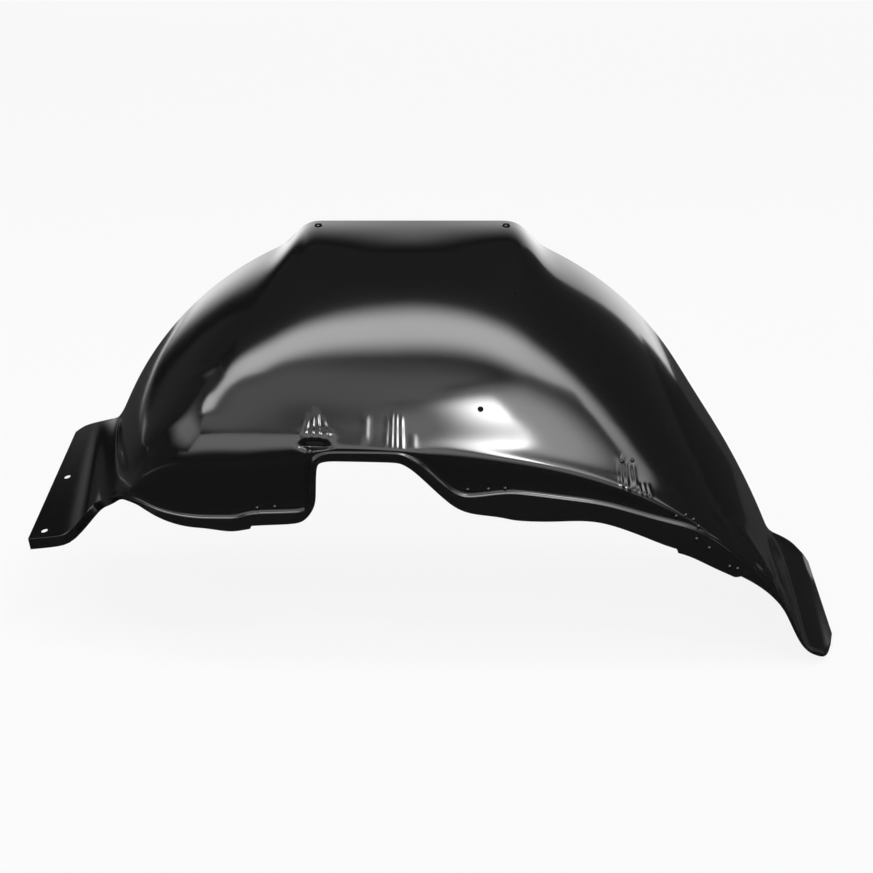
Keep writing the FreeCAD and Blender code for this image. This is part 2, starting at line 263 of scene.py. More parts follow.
# Softboxes round the aim: name, azimuth, elevation, width and height in degrees, level and roll
AIM = Vector((0.03, -0.15, -0.2))
SOFTBOX_DISTANCE = 6.0
SOFTBOXES = [("overhead_strip", 0, 90, 112, 25, 4.5, 7),
             ("key_light", 28, 54, 24, 15, 18, 0),
             ("key_halo", 34, 54, 54, 24, 3.0, 0),
             ("right_fill", 86, 33, 22, 13, 1.6, 0),
             ("front_fill", -20, 66, 110, 34, 0.75, 0),
             ("front_strip", -12, 38, 104, 62, 1.35, 0),
             ("left_strip", -74, 42, 70, 44, 1.2, 0)]

# Camera, in metres, degrees and millimetres of lens and sensor
CAMERA_PLACE = (0.0322, -2.8284, 0.7281)
CAMERA_TILT = 70
CAMERA_LENS = 90
CAMERA_SENSOR = 36


def guide(rows, t):
    """Value at station t on a smooth curve through rows of (station, value)."""
    last = len(rows) - 1
    slopes = [(rows[k + 1][1] - rows[k][1]) / (rows[k + 1][0] - rows[k][0]) for k in range(last)]

    def tangent(k):
        if k == 0:
            return slopes[0]
        if k == last:
            return slopes[last - 1]
        before, after = slopes[k - 1], slopes[k]
        return 2 * before * after / (before + after) if before * after > 0 else 0.0

    i = max([k for k in range(last) if t >= rows[k][0]] or [0])
    span = rows[i + 1][0] - rows[i][0]
    u = min(max((t - rows[i][0]) / span, 0.0), 1.0)
    v = 1 - u
    return (v * v * (1 + 2 * u) * rows[i][1] + u * u * (3 - 2 * u) * rows[i + 1][1]
            + span * u * v * (v * tangent(i) - u * tangent(i + 1)))


def ease(start, end, value):
    """0 at start, 1 at end, smooth between; value may be an array."""
    u = np.clip((np.asarray(value, float) - start) / (end - start), 0.0, 1.0)
    return u * u * (3 - 2 * u)


def mix(a, b, share):
    return a * (1 - share) + b * share


def unit(v):
    return v / np.linalg.norm(v, axis=-1, keepdims=True)


def point(x, y, z):
    return np.array([x, y, z], float)


def arch(angle):
    turn = math.radians(angle)
    return point(AXLE_X + ARCH_RADIUS * math.sin(turn), RIM_Y, ARCH_RISE + ARCH_RADIUS * (math.cos(turn) - 1))


def wall_y(x):
    return WALL_Y + LEFT_CORNER_SWEEP * max(LEFT_CORNER_X - x, 0.0) ** 2


LEFT_FOOT = arch(LEFT_FOOT_ANGLE)
RIGHT_LEAVE = arch(RIGHT_LEAVE_ANGLE)
LEAVE_TURN = math.radians(RIGHT_LEAVE_ANGLE)
RIGHT_OUT = point(math.sin(LEAVE_TURN), 0, math.cos(LEAVE_TURN))
RIGHT_FOOT = RIGHT_LEAVE + point(math.cos(LEAVE_TURN), 0, -math.sin(LEAVE_TURN)) * RIGHT_RUN


def on_ear(x, y):
    return point(x, y, LEFT_FOOT[2] + EAR_RISE_X * (x - LEFT_FOOT[0]) + EAR_RISE_Y * (y - RIM_Y))


def on_tail(x, y):
    return point(x, y, RIGHT_FOOT[2] + TAIL_RISE_X * (x - RIGHT_FOOT[0]) + TAIL_RISE_Y * (y - RIM_Y))


def through(points, t):
    return point(*[guide([(s, p[axis]) for s, p in points], t) for axis in range(3)])


def near(x, z):
    return point(x, wall_y(x) - LEDGE, z)


EAR_RIM = [(-100, on_ear(LEFT_FOOT[0] - EAR_WIDTH, RIM_Y - 14)),
           (-97, on_ear(LEFT_FOOT[0] - EAR_WIDTH + 6, RIM_Y - 5)),
           (-92, on_ear(LEFT_FOOT[0] - EAR_WIDTH + 18, RIM_Y)),
           (-80, on_ear(LEFT_FOOT[0] - 16, RIM_Y)),
           (EAR_END, on_ear(LEFT_FOOT[0] - 6, RIM_Y)),
           (FLANK_START, arch(FLANK_START))]
TAIL_RIM = [(RIGHT_LEAVE_ANGLE, RIGHT_LEAVE),
            (72, mix(RIGHT_LEAVE, RIGHT_FOOT, 0.5) + RIGHT_OUT * RIGHT_BULGE),
            (TAIL_START - 4, mix(RIGHT_LEAVE, RIGHT_FOOT, 0.86) + RIGHT_OUT * RIGHT_BULGE * 0.5),
            (TAIL_START, RIGHT_FOOT),
            (87, on_tail(RIGHT_FOOT[0] + 14, RIM_Y - 1)),
            (92, on_tail(RIGHT_FOOT[0] + 32, RIM_Y - 6)),
            (97, on_tail(RIGHT_FOOT[0] + TAIL_WIDTH - 3, RIM_Y - 26)),
            (100, on_tail(RIGHT_FOOT[0] + TAIL_WIDTH, RIM_Y - 56))]
EAR_TIP = on_ear(LEFT_FOOT[0] - EAR_REACH, EAR_NEAR_Y)
FOLD = [(-100, EAR_TIP),
        (-90, on_ear(LEFT_FOOT[0] - 31, EAR_NEAR_Y - 12)),
        (-86, near(-414, -322)),
        (-83, near(-404, -311)),
        (-79, near(-389, -300)),
        (-70, near(-361, -285)),
        (-66, near(-341, -284)),
        (-60, near(-312, BELLY_Z + 2)),
        (-50, near(-260, BELLY_Z)),
        (-40, near(-217, BELLY_Z)),
        (-37, near(-198, BELLY_Z + 6)),
        (-28, near(NOTCH_LEFT - 14, BELLY_Z + 8)),
        (-26, near(NOTCH_LEFT - 2, BELLY_Z + 10)),
        (-24.5, near(NOTCH_LEFT, BELLY_Z + 22)),
        (-19.5, near(NOTCH_LEFT + 3, NOTCH_TOP - 15)),
        (-17, near(NOTCH_LEFT + 11, NOTCH_TOP - 4)),
        (-14, near(NOTCH_LEFT + 28, NOTCH_TOP)),
        (0, near(NOTCH_RIGHT - 8, NOTCH_TOP - 1)),
        (3, near(NOTCH_RIGHT + 8, NOTCH_TOP - 6)),
        (13, near(NOTCH_FOOT - 3, CREST_Z - 2)),
        (16, near(NOTCH_FOOT + 10, CREST_Z - 5)),
        (24, near(NOTCH_FOOT + 60, CREST_Z)),
        (36, near(185, -266)),
        (45, near(234, -273)),
        (57, near(309, -295)),
        (64, near(357, -308)),
        (68, near(386, -327)),
        (79, near(466, -402)),
        (85, near(RIGHT_FOOT[0] - 9, -450)),
        (88, on_tail(RIGHT_FOOT[0] + 1, TAIL_NEAR_Y + 2)),
        (92, on_tail(RIGHT_FOOT[0] + 15, TAIL_NEAR_Y)),
        (97, on_tail(RIGHT_FOOT[0] + TAIL_WIDTH - 14, TAIL_NEAR_Y + 28)),
        (100, on_tail(RIGHT_FOOT[0] + TAIL_WIDTH - 3, TAIL_NEAR_Y + 78))]
RIDGE_X = [(-70, -360), (-60, -314), (-50, -269), (-40, -222), (0, -14), (50, 245), (58, 290), (70, 392),
           (TAIL_START, 484)]
CORNER_Z = [(-70, -277), (-64, -243), (-58, -214), (-52, -196), (-46, -189), (-40, -188.4)]


def far_rim(t):
    if t < FLANK_START:
        return through(EAR_RIM, t)
    if t > RIGHT_LEAVE_ANGLE:
        return through(TAIL_RIM, t)
    return arch(t)


def over_notch(x):
    """1 above the notch, 0 away from it."""
    left, right = x - NOTCH_LEFT, x - NOTCH_RIGHT
    return ease(*NOTCH_RUN_LEFT, left) * (1 - ease(*NOTCH_RUN_RIGHT, right))


def fold(t):
    edge = through(FOLD, t)
    return edge + point(0, (LEDGE - NOTCH_LEDGE) * over_notch(edge[0]), 0)


def below_fold(t):
    """Direction in which the lip hangs."""
    run = fold(t + FOLD_STEP) - fold(t - FOLD_STEP)
    return unit(point(run[2], 0, -run[0]))


def ridge(t):
    x = guide(RIDGE_X, t)
    z = RIDGE_Z + RIDGE_TILT * x - RIDGE_DROP * (max(x, 0.0) / RIDGE_DROP_RUN) ** 3
    if t < CORNER_Z[-1][0]:
        z = guide(CORNER_Z, t)
    return point(x, wall_y(x), z - guide(RIDGE_SAG, t))


def ridge_step(t):
    """From the ridge up to where the dome starts: a long soft step on the left, a short one on the right."""
    return unit(point(0, 1, guide(RIDGE_SLOPE, t))) * guide(RIDGE_REACH, t)


def wall_share(t):
    """1 along the dome's lower wall, 0 on the foot flanges."""
    return ease(*WALL_START, t) * (1 - ease(*WALL_END, t))


def section(t):
    """Control points of one cross-section, from the far rim over the dome to the edge of the lip."""
    rim, edge, share = far_rim(t), fold(t), wall_share(t)
    hang = below_fold(t)
    back = rim - edge
    crest = mix(edge + back * CREST_SHARE, ridge(t), share)
    root = mix(edge + back * ROOT_SHARE, crest + ridge_step(t), share)
    notched = over_notch(edge[0])
    step = point(0, mix(LEDGE, NOTCH_LEDGE, notched), 0) - hang * mix(LEDGE_FALL, NOTCH_LEDGE_FALL, notched)
    foot = mix(edge + back * FOOT_SHARE, edge + step, share)
    tip = edge + (hang + point(0, -LIP_LEAN, 0)) * guide(LIP, t)
    shoulder = point(mix(rim[0], root[0], guide(TREAD_LEAN, t)), guide(TREAD_Y, t),
                     mix(rim[2], root[2], guide(TREAD_FALL, t)))
    domed = ease(*SHOULDER_START, t) * (1 - ease(*SHOULDER_END, t))
    shoulder = mix((rim + root) * 0.5, shoulder, domed)
    weight = guide(BOXINESS, t)
    poles = []
    for i in range(DOME_ROWS):
        u = (i / DOME_ROWS) ** ROW_CROWDING
        pull = 2 * weight * u * (1 - u)
        total = (1 - u) ** 2 + pull + u * u
        poles.append((rim * (1 - u) ** 2 + shoulder * pull + root * u * u) / total)
    poles += [root,
              crest,
              (crest + foot) * 0.5,
              foot,
              edge + unit(foot - edge) * FOLD_ROUND,
              edge,
              edge + unit(tip - edge) * FOLD_ROUND,
              tip]
    poles = [swell_flank(pole, t) for pole in poles]
    sunk = ease(*TAIL_RECESS_START, t) * (1 - ease(*TAIL_RECESS_END, t))
    poles = [sink_tail(pole, sunk) for pole in poles]
    return [lift_flange(pole) for pole in poles]


def swell_flank(pole, t):
    """Rounds the left flank out a little beside the rim, so that the rim stands square to it."""
    turn = math.radians(t)
    share = min((RIM_Y - pole[1]) / SWELL_DEPTH, 1.0)
    return pole + point(math.sin(turn), 0, math.cos(turn)) * guide(SWELL, t) * share * (1 - share) ** 2


def sink_tail(pole, sunk):
    """Presses the middle of the right foot flange down, inside its border."""
    inside = ease(0, TAIL_BORDER, RIM_Y - pole[1]) * ease(0, TAIL_BORDER, pole[1] - TAIL_NEAR_Y)
    return pole - point(0, 0, TAIL_RECESS) * sunk * inside


def lift_flange(pole):
    """Raises the arch to the flat crown flange, and lets it sink back to the dome towards the viewer."""
    half = FLANGE_HOLE_SPACING / 2 + FLANGE_END_MARGIN
    far = RIM_Y - pole[1]
    along = 1 - ease(half, half + FLANGE_RAMP + FLANGE_SPREAD * far, abs(pole[0]))
    widen = (min(abs(pole[0]), half) / half) ** FLANGE_WIDENING
    across = 1 - ease(FLANGE_DEPTH, FLANGE_DEPTH + mix(FLANGE_CROWN_BLEND, FLANGE_BLEND, widen), far)
    arch_height = ARCH_RISE - ARCH_RADIUS + math.sqrt(max(ARCH_RADIUS ** 2 - (pole[0] - AXLE_X) ** 2, 0.0))
    return point(pole[0], pole[1], min(pole[2] - arch_height * along * across, 0.0))


def stations():
    found = [RUNS[0][0]]
    for start, end, count in RUNS:
        found += [start + (end - start) * (k + 1) / count for k in range(count)]
    return found


def spline_basis(count, places):
    """Weights of a clamped cubic spline's control points at each place."""
    knots = np.concatenate([[0] * 3, np.arange(count - 2), [count - 3] * 3]).astype(float)
    places = np.minimum(np.asarray(places, float), count - 3 - 1e-9)
    weights = ((knots[:-1] <= places[:, None]) & (places[:, None] < knots[1:])).astype(float)
    for degree in (1, 2, 3):
        longer = np.zeros((len(places), len(knots) - degree - 1))
        for k in range(longer.shape[1]):
            rise, fall = knots[k + degree] - knots[k], knots[k + degree + 1] - knots[k + 1]
            if rise > 0:
                longer[:, k] += (places - knots[k]) / rise * weights[:, k]
            if fall > 0:
                longer[:, k] += (knots[k + degree + 1] - places) / fall * weights[:, k + 1]
        weights = longer
    return weights


def sample_places(counts):
    """Even steps in every span of a spline, as many in each as counts says."""
    places = [0.0]
    for span, count in enumerate(counts):
        places += [span + (k + 1) / count for k in range(count)]
    return places


def steps_along(found):
    """Steps in each span along the sheet."""
    counts = []
    for span in range(len(found) - 3):
        middle = sum(found[span:span + 4]) / 4
        counts.append([steps for end, steps in STEPS_ALONG if middle < end][0])
    return counts


def skin_normals(skin):
    along = np.gradient(skin, axis=0)
    across = np.gradient(skin, axis=1)
    return unit(np.cross(across, along))


def upper_skin():
    found = stations()
    net = np.array([section(t) for t in found])
    along = spline_basis(len(found), sample_places(steps_along(found)))
    across = spline_basis(net.shape[1], sample_places(STEPS_ACROSS))
    return np.einsum("ik,klc,jl->ijc", along, net, across)


def line_bump(skin, start, end, half_width, height):
    """Long low bump along a line in the view along the axle, fading at both ends."""
    flat = skin[..., [0, 2]]
    start, run = np.array(start, float), np.array(end, float) - np.array(start, float)
    along = ((flat - start) @ run) / (run @ run)
    beside = np.linalg.norm(flat - start - np.clip(along, 0, 1)[..., None] * run, axis=-1)
    fade = ease(-MARK_RUN_OUT, MARK_RUN_IN, along) * (1 - ease(1 - MARK_RUN_IN, 1 + MARK_RUN_OUT, along))
    return height * np.exp(-(beside / half_width) ** 2) * fade


def round_bump(skin, middle, half, height):
    """Low bump, or a dent where the height is negative, with a soft edge all round."""
    across, up = (skin[..., 0] - middle[0]) / half[0], (skin[..., 2] - middle[1]) / half[1]
    return height * np.exp(-(across ** 2 + up ** 2) ** PINCH_SQUARENESS)


def lengthen_lip(skin):
    """Draws the lip's edge lower along the tabs."""
    rows = STEPS_ACROSS[-1]
    hang = unit(skin[:, -1] - skin[:, -1 - rows])
    share = np.linspace(0, 1, rows + 1)[1:]
    x = skin[:, -1, 0]
    longer = skin.copy()
    for start, end, run_in, run_out, drop in LIP_TABS:
        lower = drop * ease(start, start + run_in, x) * (1 - ease(end - run_out, end, x))
        longer[:, -rows:] += hang[:, None, :] * lower[:, None, None] * share[None, :, None]
    return longer


def press_marks(skin):
    """Wrinkles, creases and the pinched pocket, pressed into the front of the sheet."""
    out = np.zeros(skin.shape[:2])
    for marks in (DRAW_WRINKLES, TAIL_WRINKLES, EAR_WRINKLES, NOTCH_WRINKLES, CORNER_CREASES):
        for start, end, half_width, height in marks:
            out += line_bump(skin, start, end, half_width, height)
    out += round_bump(skin, POCKET, POCKET_HALF, -POCKET_DEPTH)
    out += round_bump(skin, BROW, BROW_HALF, BROW_HEIGHT)
    front = ease(*MARKS_FRONT, skin[..., 1])
    return skin + skin_normals(skin) * (out * front)[..., None]


def sheet_mesh(name, skin):
    """Closed mesh of the sheet: the outer skin, the inner skin one sheet thickness in, and the cut edges."""
    rows, columns = skin.shape[:2]
    inner = skin - skin_normals(skin) * SHEET
    vertices = np.concatenate([skin.reshape(-1, 3), inner.reshape(-1, 3)]) * MM
    index = np.arange(rows * columns).reshape(rows, columns)
    under = index + rows * columns

    def quads(a, b, c, d):
        return np.stack([a.ravel(), b.ravel(), c.ravel(), d.ravel()], 1)

    faces = [quads(index[:-1, :-1], index[:-1, 1:], index[1:, 1:], index[1:, :-1]),
             quads(under[:-1, :-1], under[1:, :-1], under[1:, 1:], under[:-1, 1:])]
    border = np.concatenate([index[:, 0], index[-1, 1:], index[-2::-1, -1], index[0, -2:0:-1]])
    beside = np.roll(border, -1)
    faces.append(quads(border, beside, beside + rows * columns, border + rows * columns))
    mesh = bpy.data.meshes.new(name)
    mesh.from_pydata(vertices.tolist(), [], np.concatenate(faces).tolist())
    mesh.validate()
    return mesh


def add_object(name, mesh):
    made = bpy.data.objects.new(name, mesh)
    bpy.context.scene.collection.objects.link(made)
    return made


def apply_modifiers(made):
    """Gives an object the plain mesh that its modifiers make, and takes them off."""
    plain = bpy.data.meshes.new_from_object(made.evaluated_get(bpy.context.evaluated_depsgraph_get()))
    made.modifiers.clear()
    made.data = plain


def facing_turn(axis):
    """Turn that brings the z axis onto an axis."""
    return Vector(axis).to_track_quat("Z", "Y").to_matrix()


def drill(place, axis, radius):
    """Round cutter through the sheet at a place given in millimetres."""
    bpy.ops.mesh.primitive_cylinder_add(vertices=DRILL_SIDES, radius=radius * MM, depth=2 * DRILL_REACH * MM)
    cutter = bpy.context.object
    cutter.data.transform(Matrix.Translation(Vector(place) * MM) @ facing_turn(axis).to_4x4())
    return cutter


def dome_place(skin, x, z):
    """Place and normal where a line along the axle at x, z meets the dome, from its four nearest points."""
    normals = skin_normals(skin)
    behind = skin[..., 1] > 0
    away = np.hypot(skin[..., 0] - x, skin[..., 2] - z) + FAR_OFF * behind
    nearest = np.argsort(away, axis=None)[:4]
    share = 1 / (away.ravel()[nearest] + SHARE_FLOOR)
    share = (share / share.sum())[:, None]
    place = (skin.reshape(-1, 3)[nearest] * share).sum(0)
    return place, unit((normals.reshape(-1, 3)[nearest] * share).sum(0))


def crown_hole_places():
    return [(side * FLANGE_HOLE_SPACING / 2, 0, 0) for side in (-1, 1)]


def drill_holes(liner, skin):
    """Cuts the crown, foot flange and dome holes through the sheet."""
    cutters = [drill(place, (0, 0, 1), FLANGE_HOLE_RADIUS) for place in crown_hole_places()]
    for x, y in EAR_HOLES:
        cutters.append(drill(on_ear(x, y), (-EAR_RISE_X, -EAR_RISE_Y, 1), EAR_HOLE_RADIUS))
    for x, z, radius in (DRAIN_HOLE, PIN_HOLE):
        place, normal = dome_place(skin, x, z)
        cutters.append(drill(place, normal, radius))
    for cutter in cutters:
        cut = liner.modifiers.new("hole", "BOOLEAN")
        cut.operation = "DIFFERENCE"
        cut.solver = "EXACT"
        cut.object = cutter
    apply_modifiers(liner)
    for cutter in cutters:
        bpy.data.objects.remove(cutter)


def pip_tree():
    """Geometry nodes: a low round pip on every point, standing along the point's facing."""
    tree = bpy.data.node_groups.new("clinch_pips", "GeometryNodeTree")
    face = tree.interface
    face.new_socket("Geometry", in_out="INPUT", socket_type="NodeSocketGeometry")
    face.new_socket("Pip Radius", in_out="INPUT", socket_type="NodeSocketFloat")
    face.new_socket("Pip Height", in_out="INPUT", socket_type="NodeSocketFloat")
    face.new_socket("Coat", in_out="INPUT", socket_type="NodeSocketMaterial")
    face.new_socket("Geometry", in_out="OUTPUT", socket_type="NodeSocketGeometry")
    nodes, links = tree.nodes, tree.links
    start, end = nodes.new("NodeGroupInput"), nodes.new("NodeGroupOutput")
    ball = nodes.new("GeometryNodeMeshUVSphere")
    ball.inputs["Segments"].default_value = PIP_SEGMENTS
    ball.inputs["Rings"].default_value = PIP_RINGS
    ball.inputs["Radius"].default_value = 1.0
    size = nodes.new("ShaderNodeCombineXYZ")
    links.new(start.outputs["Pip Radius"], size.inputs["X"])
    links.new(start.outputs["Pip Radius"], size.inputs["Y"])
    links.new(start.outputs["Pip Height"], size.inputs["Z"])
    facing = nodes.new("GeometryNodeInputNamedAttribute")
    facing.data_type = "FLOAT_VECTOR"
    facing.inputs["Name"].default_value = "facing"
    stand = nodes.new("FunctionNodeAlignRotationToVector")
    stand.axis = "Z"
    links.new(facing.outputs["Attribute"], stand.inputs["Vector"])
    scatter = nodes.new("GeometryNodeInstanceOnPoints")
    links.new(start.outputs["Geometry"], scatter.inputs["Points"])
    links.new(ball.outputs["Mesh"], scatter.inputs["Instance"])
    links.new(stand.outputs["Rotation"], scatter.inputs["Rotation"])
    links.new(size.outputs["Vector"], scatter.inputs["Scale"])
    real = nodes.new("GeometryNodeRealizeInstances")
    links.new(scatter.outputs["Instances"], real.inputs["Geometry"])
    paint = nodes.new("GeometryNodeSetMaterial")
    links.new(real.outputs["Geometry"], paint.inputs["Geometry"])
    links.new(start.outputs["Coat"], paint.inputs["Material"])
    links.new(paint.outputs["Geometry"], end.inputs["Geometry"])
    return tree


def set_input(modifier, name, value):
    for item in modifier.node_group.interface.items_tree:
        if item.in_out == "INPUT" and item.name == name:
            modifier[item.identifier] = value


def clinch_pips(skin, coat):
    """Small round pips along the lip, made by the nodes and turned to a plain mesh."""
    places, normals = zip(*[dome_place(skin, x, z) for x, z in PIPS])
    mesh = bpy.data.meshes.new("clinch_pips")
    mesh.from_pydata([Vector(place) * MM for place in places], [], [])
    facing = mesh.attributes.new("facing", "FLOAT_VECTOR", "POINT")
    facing.data.foreach_set("vector", np.array(normals).ravel())
    pips = add_object("clinch_pips", mesh)
    nodes = pips.modifiers.new("pips", "NODES")
    nodes.node_group = pip_tree()
    set_input(nodes, "Pip Radius", PIP_RADIUS * MM)
    set_input(nodes, "Pip Height", PIP_HEIGHT * MM)
    set_input(nodes, "Coat", coat)
    apply_modifiers(pips)
    return pips


def turned(profile, place, axis):
    """Rings of a profile of (radius, height) turned round an axis: vertices in metres and faces."""
    turn = facing_turn(axis)
    vertices, faces = [], []
    for radius, height in profile:
        for k in range(TURN_STEPS):
            angle = 2 * math.pi * k / TURN_STEPS
            offset = turn @ Vector((radius * math.cos(angle), radius * math.sin(angle), height))
            vertices.append((Vector(place) + offset) * MM)
    for ring in range(len(profile) - 1):
        low, high = ring * TURN_STEPS, (ring + 1) * TURN_STEPS
        for k in range(TURN_STEPS):
            after = (k + 1) % TURN_STEPS
            faces.append((low + k, low + after, high + after, high + k))
    return vertices, faces


def turned_piece(name, turnings):
    """One mesh of several turned shapes, with their normals facing outwards."""
    made = bmesh.new()
    for vertices, faces in turnings:
        points = [made.verts.new(vertex) for vertex in vertices]
        for face in faces:
            made.faces.new([points[k] for k in face])
    bmesh.ops.remove_doubles(made, verts=made.verts, dist=WELD_DISTANCE)
    bmesh.ops.recalc_face_normals(made, faces=made.faces)
    mesh = bpy.data.meshes.new(name)
    made.to_mesh(mesh)
    made.free()
    return add_object(name, mesh)


def hole_collars():
    """Collars drawn down round the two crown holes."""
    inner, outer = FLANGE_HOLE_RADIUS + COLLAR_FIT, FLANGE_HOLE_RADIUS + SHEET
    profile = [(inner, COLLAR_TOP),
               (inner, -COLLAR_DROP),
               (outer, -COLLAR_DROP),
               (outer, -SHEET),
               (inner, COLLAR_TOP)]
    return turned_piece("hole_collars", [turned(profile, place, (0, 0, 1)) for place in crown_hole_places()])


def plug_profile(radius):
    """Profile of a plug for a hole of that radius, from the middle of its dished front round to its back."""
    snug, brim = radius - PLUG_FIT, radius + PLUG_BRIM
    front = [(radius * share, height) for share, height in PLUG_DISH]
    neck = [(snug, PLUG_TOP),
            (snug, PLUG_NECK - SHEET),
            (brim, PLUG_BRIM_TOP - SHEET),
            (brim - PLUG_BRIM_TAPER, PLUG_BRIM_FOOT - SHEET)]
    back = [(radius * share, height - SHEET) for share, height in PLUG_BACK]
    return front + neck + back


def hole_shade_plugs(skin):
    """Dark plugs pushed into the drain hole and the pin hole from behind: painted shade for the dark seen
    through them.
    """
    return turned_piece("hole_shade_plugs", [turned(plug_profile(radius), *dome_place(skin, x, z))
                                       for x, z, radius in (DRAIN_HOLE, PIN_HOLE)])


def smooth(mesh, angle):
    mesh.polygons.foreach_set("use_smooth", [True] * len(mesh.polygons))
    mesh.set_sharp_from_angle(angle=math.radians(angle))


def node_material(name):
    """New material, with its nodes and links."""
    material = bpy.data.materials.new(name)
    material.use_nodes = True
    return material, material.node_tree.nodes, material.node_tree.links


def uneven_shine(nodes, links, shader, scale, detail, low, high):
    """Lets the roughness wander between low and high over the piece."""
    place = nodes.new("ShaderNodeTexCoord")
    cloud = nodes.new("ShaderNodeTexNoise")
    cloud.inputs["Scale"].default_value = scale
    cloud.inputs["Detail"].default_value = detail
    links.new(place.outputs["Object"], cloud.inputs["Vector"])
    shine = nodes.new("ShaderNodeMapRange")
    shine.inputs["To Min"].default_value = low
    shine.inputs["To Max"].default_value = high
    links.new(cloud.outputs["Fac"], shine.inputs["Value"])
    links.new(shine.outputs["Result"], shader.inputs["Roughness"])


def gloss_black_coat():
    """Dipped black coat: near-black colour under a clear gloss, a little uneven in its shine."""
    material, nodes, links = node_material("gloss_black_coat")
    shader = nodes["Principled BSDF"]
    shader.inputs["Base Color"].default_value = (0.005, 0.005, 0.0055, 1)
    shader.inputs["IOR"].default_value = 1.5
    shader.inputs["Coat Weight"].default_value = 1.0
    shader.inputs["Coat Roughness"].default_value = 0.1
    shader.inputs["Coat IOR"].default_value = 1.5
    uneven_shine(nodes, links, shader, scale=14, detail=6, low=0.11, high=0.17)
    return material


def matt_shade_black():
    """Matt black of the hole plugs, painted shade standing in for the dark seen through the holes, with a fine
    uneven grain.
    """
    material, nodes, links = node_material("matt_shade_black")
    shader = nodes["Principled BSDF"]
    shader.inputs["Base Color"].default_value = (0.006, 0.006, 0.006, 1)
    shader.inputs["Specular IOR Level"].default_value = 0.25
    uneven_shine(nodes, links, shader, scale=600, detail=2, low=0.75, high=0.9)
    return material


def calculate(nodes, links, operation, first, second):
    """Result of a maths node on a socket and on a second socket or a number."""
    node = nodes.new("ShaderNodeMath")
    node.operation = operation
    links.new(first, node.inputs[0])
    if isinstance(second, bpy.types.NodeSocket):
        links.new(second, node.inputs[1])
    else:
        node.inputs[1].default_value = second
    return node.outputs[0]


def soft_step(nodes, links, value, start, end, low=0.0, high=1.0):
    """Smooth change from low to high while the value goes from start to end."""
    step = nodes.new("ShaderNodeMapRange")
    step.interpolation_type = "SMOOTHSTEP"
    step.inputs["From Min"].default_value = start
    step.inputs["From Max"].default_value = end
    step.inputs["To Min"].default_value = low
    step.inputs["To Max"].default_value = high
    links.new(value, step.inputs["Value"])
    return step.outputs["Result"]


def white_floor():
    """Matt floor that shows white to the camera and in reflections, apart from a share for the shadow."""
    material, nodes, links = node_material("white_floor")
    nodes.clear()
    out = nodes.new("ShaderNodeOutputMaterial")
    matt = nodes.new("ShaderNodeBsdfDiffuse")
    matt.inputs["Color"].default_value = (0.8, 0.8, 0.8, 1)
    glow = nodes.new("ShaderNodeEmission")
    glow.inputs["Color"].default_value = (1, 1, 1, 1)
    glow.inputs["Strength"].default_value = 1.0
    path = nodes.new("ShaderNodeLightPath").outputs
    seen = calculate(nodes, links, "MAXIMUM", path["Is Camera Ray"], path["Is Glossy Ray"])
    seen = calculate(nodes, links, "MAXIMUM", seen, path["Is Transmission Ray"])
    blend = nodes.new("ShaderNodeMixShader")
    links.new(calculate(nodes, links, "MULTIPLY", seen, FLOOR_WHITENESS), blend.inputs["Fac"])
    links.new(matt.outputs[0], blend.inputs[1])
    links.new(glow.outputs[0], blend.inputs[2])
    links.new(blend.outputs[0], out.inputs["Surface"])
    return material


def pale_floor():
    bpy.ops.mesh.primitive_plane_add(size=FLOOR_SIZE, location=(0, 0, FLOOR_HEIGHT))
    floor = bpy.context.object
    floor.name = "studio_floor"
    floor.data.materials.append(white_floor())


def dark_material(name, level):
    material, nodes, _ = node_material(name)
    shader = nodes["Principled BSDF"]
    shader.inputs["Base Color"].default_value = (level, level, level, 1)
    shader.inputs["Roughness"].default_value = 1.0
    shader.inputs["Emission Color"].default_value = (1, 1, 1, 1)
    shader.inputs["Emission Strength"].default_value = level
    return material


def hide_from_camera(card):
    card.visible_camera = False
    card.visible_shadow = False


def flat_card(name, placing, material):
    """Card one metre square, put in its place by a matrix and hidden from the camera."""
    bpy.ops.mesh.primitive_plane_add(size=1)
    card = bpy.context.object
    card.name = name
    card.data.transform(placing)
    card.data.materials.append(material)
    hide_from_camera(card)
    return card


def upright(place, size):
    """Placing of a card that stands along the x axis."""
    wide, high = size
    return (Matrix.Translation(place) @ Matrix.Rotation(math.radians(90), 4, "X")
            @ Matrix.Diagonal((wide, high, 1, 1)))


def studio_walls():
    """Dark round room."""
    bpy.ops.mesh.primitive_uv_sphere_add(segments=48, ring_count=24, radius=WALL_RADIUS,
                                         location=(0, 0, FLOOR_HEIGHT))
    walls = bpy.context.object
    walls.name = "studio_walls"
    walls.data.materials.append(dark_material("dark_wall", DARK_WALL_LEVEL))
    hide_from_camera(walls)


def dark_table(material):
    """Dark table top with an opening under the dome."""
    mesh = bpy.data.meshes.new("dark_table")
    corners = [(x, y, FLOOR_HEIGHT + TABLE_LIFT) for x, y in TABLE_EDGE + TABLE_OPENING]
    mesh.from_pydata(corners, [], [(k, (k + 1) % 4, 4 + (k + 1) % 4, 4 + k) for k in range(4)])
    table = add_object("dark_table", mesh)
    table.data.materials.append(material)
    hide_from_camera(table)
    return table


def dark_studio():
    """Dark walls, tables and a flag by the right foot, which the coat reflects and the camera can't see."""
    studio_walls()
    material = dark_material("dark_card", DARK_CARD_LEVEL)
    side_placing = Matrix.Translation(SIDE_TABLE_PLACE) @ Matrix.Diagonal(SIDE_TABLE_SIZE)
    cards = [dark_table(material),
             flat_card("dark_side_table", side_placing, material),
             flat_card("tail_flag", upright(TAIL_FLAG_PLACE, TAIL_FLAG_SIZE), material)]
    for card in cards:
        card.visible_diffuse = False


